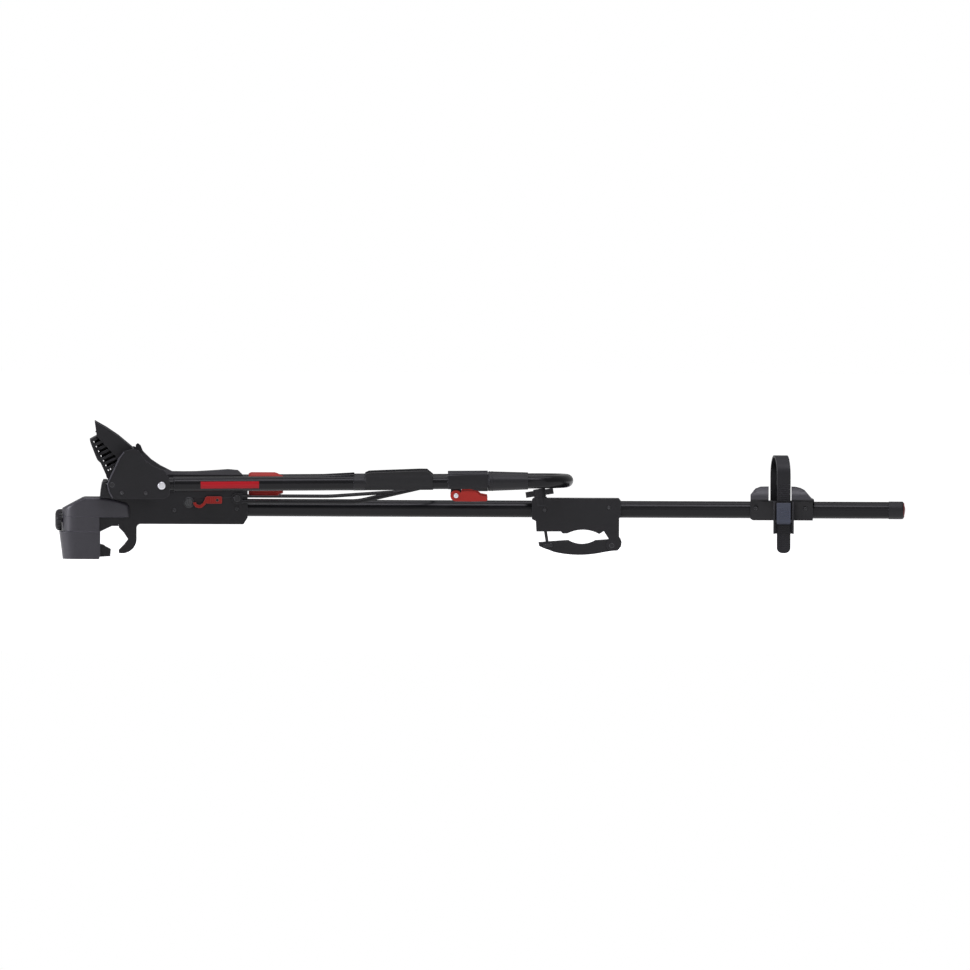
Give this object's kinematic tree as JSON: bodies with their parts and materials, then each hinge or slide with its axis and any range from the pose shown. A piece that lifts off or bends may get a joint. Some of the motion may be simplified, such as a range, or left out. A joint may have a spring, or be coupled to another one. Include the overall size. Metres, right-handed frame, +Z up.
{
  "type": "roof mounted bike carrier",
  "caption": "Folded wheel-holding roof bike carrier: beam with front clamp, wheel scoop, telescopic hoop, rear clamp and strapped wheel tray.",
  "frame": {"origin": "middle of the rubber seat that rests on the roof's front crossbar", "axes": "+X along the beam to the rear wheel end, +Z up, the buckle and the lock are on the -Y side"},
  "size_m": [1.4282, 0.1804, 0.232],
  "materials": {
    "black_plastic": "satin moulded",
    "tube_paint": "satin black",
    "wire_paint": "satin black",
    "red_plastic": "satin",
    "rubber": "matt",
    "bright_steel": "polished",
    "plain_steel": "plated",
    "barrel_metal": "dark grey",
    "lens": "dark red",
    "lever_plastic": "satin blue grey"
  },
  "bodies": {
    "frame": {"main_tube": "tube_paint", "end_cap": "black_plastic", "end_reflector": "lens", "base_body": "black_plastic", "saddle_pad": "rubber", "cradle_block": "black_plastic", "cradle_plate_left": "black_plastic", "cradle_plate_right": "black_plastic", "hoop_rivets": "bright_steel", "scoop_hinge_pin": "plain_steel", "spine_housing": "black_plastic", "front_cover": "black_plastic", "clamp_housing": "black_plastic", "bail_pins": "plain_steel", "latch_pin": "plain_steel", "latch_spring": "plain_steel"},
    "hoop_legs": {"hoop_leg_left": "tube_paint", "hoop_leg_right": "tube_paint", "leg_cover_left": "black_plastic", "leg_cover_right": "black_plastic", "tyre_bumper_left": "rubber", "tyre_bumper_right": "rubber", "leg_collar_left": "black_plastic", "leg_collar_right": "black_plastic", "cam_pins": "bright_steel"},
    "hoop_top": {"upper_hoop": "tube_paint", "hoop_sleeve_left": "black_plastic", "hoop_sleeve_right": "black_plastic"},
    "left_cam_lever": {"cam_lever_left": "red_plastic"},
    "right_cam_lever": {"cam_lever_right": "red_plastic"},
    "knob": {"tension_knob": "red_plastic", "tension_screw": "plain_steel"},
    "link": {"drawbar": "plain_steel", "drawbar_pin": "plain_steel", "tension_nut": "plain_steel"},
    "scoop": {"wheel_scoop": "black_plastic", "scoop_ladder": "black_plastic"},
    "bail": {"wheel_bail": "wire_paint"},
    "dial": {"clamp_dial": "black_plastic", "clamp_spindle": "plain_steel"},
    "front_jaw": {"sliding_jaw": "black_plastic", "clamp_nut": "plain_steel"},
    "latch": {"release_latch": "red_plastic"},
    "lock": {"lock_barrel": "barrel_metal"},
    "rear_clamp": {"mid_housing": "black_plastic", "mid_upper_pad": "rubber", "mid_hinge_pin": "plain_steel"},
    "bolt": {"t_knob": "black_plastic", "clamp_bolt": "plain_steel"},
    "rear_jaw": {"mid_jaw": "black_plastic", "mid_lower_pad": "rubber", "jaw_nut": "plain_steel"},
    "tray": {"wheel_tray": "black_plastic", "strap": "black_plastic", "strap_anchor_pin": "plain_steel", "buckle_frame": "black_plastic", "buckle_pin": "plain_steel"},
    "strap_lever": {"buckle_lever": "lever_plastic"}
  },
  "joints": [
    {"name": "hoop_fold", "type": "hinge", "parent": "frame", "child": "hoop_legs", "pos_m": [0.0783, 0, 0.0695], "axis": [0, -1, 0], "range_deg": [0, 100]},
    {"name": "hoop_extend", "type": "slide", "parent": "hoop_legs", "child": "hoop_top", "axis": [0.9999, 0, 0.0101], "range_m": [0, 0.06]},
    {"name": "left_cam_open", "type": "hinge", "parent": "hoop_legs", "child": "left_cam_lever", "pos_m": [0.57298, -0.07, 0.05451], "axis": [0, 1, 0], "range_deg": [0, 95]},
    {"name": "right_cam_open", "type": "hinge", "parent": "hoop_legs", "child": "right_cam_lever", "pos_m": [0.57298, 0.07, 0.05451], "axis": [0, 1, 0], "range_deg": [0, 95]},
    {"name": "knob_turn", "type": "hinge", "parent": "frame", "child": "knob", "pos_m": [0.25, 0, 0.0702], "axis": [1, 0, 0], "range_deg": [0, 1126]},
    {"name": "link_slide", "type": "slide", "parent": "frame", "child": "link", "axis": [-1, 0, 0], "range_m": [0, 0.0095]},
    {"name": "scoop_tilt", "type": "hinge", "parent": "frame", "child": "scoop", "pos_m": [-0.005, 0, 0.0705], "axis": [0, -1, 0], "range_deg": [0, 20]},
    {"name": "bail_raise", "type": "hinge", "parent": "frame", "child": "bail", "pos_m": [0.205, 0, 0.0474], "axis": [0, -1, 0], "range_deg": [0, 95]},
    {"name": "dial_turn", "type": "hinge", "parent": "frame", "child": "dial", "pos_m": [-0.09, 0, 0.0093], "axis": [1, 0, 0], "range_deg": [0, 2881]},
    {"name": "jaw_slide", "type": "slide", "parent": "frame", "child": "front_jaw", "axis": [-1, 0, 0], "range_m": [0, 0.024]},
    {"name": "latch_pull", "type": "hinge", "parent": "frame", "child": "latch", "pos_m": [0.172, -0.038, 0.0445], "axis": [0, -1, 0], "range_deg": [0, 12], "stiffness_Nm_per_rad": 0.05, "springref_deg": -11.46},
    {"name": "lock_turn", "type": "hinge", "parent": "frame", "child": "lock", "pos_m": [0.1243, -0.032, 0.04], "axis": [0, -1, 0], "range_deg": [0, 90]},
    {"name": "rear_clamp_slide", "type": "slide", "parent": "frame", "child": "rear_clamp", "axis": [1, 0, 0], "range_m": [-0.15, 0.1]},
    {"name": "bolt_turn", "type": "hinge", "parent": "rear_clamp", "child": "bolt", "pos_m": [0.7132, -0.022, 0.059], "axis": [0.1564, 0, -0.9877], "range_deg": [0, 2520]},
    {"name": "rear_jaw_close", "type": "hinge", "parent": "rear_clamp", "child": "rear_jaw", "pos_m": [0.835, 0, -0.0296], "axis": [0, 1, 0], "range_deg": [0, 4.7]},
    {"name": "tray_slide", "type": "slide", "parent": "frame", "child": "tray", "axis": [1, 0, 0], "range_m": [-0.1, 0.12]},
    {"name": "strap_lever_lift", "type": "hinge", "parent": "tray", "child": "strap_lever", "pos_m": [1.12, -0.0435, 0.013], "axis": [1, 0, 0], "range_deg": [0, 75], "stiffness_Nm_per_rad": 0.05, "springref_deg": -17.19}
  ],
  "couplings": [
    {"joint": "knob_turn", "follows": "scoop_tilt", "ratio": 56.25},
    {"joint": "link_slide", "follows": "scoop_tilt", "m_per_rad": 0.026857},
    {"joint": "dial_turn", "follows": "jaw_slide", "rad_per_m": 2094.4},
    {"joint": "rear_jaw_close", "follows": "bolt_turn", "ratio": 0.0018455}
  ]
}
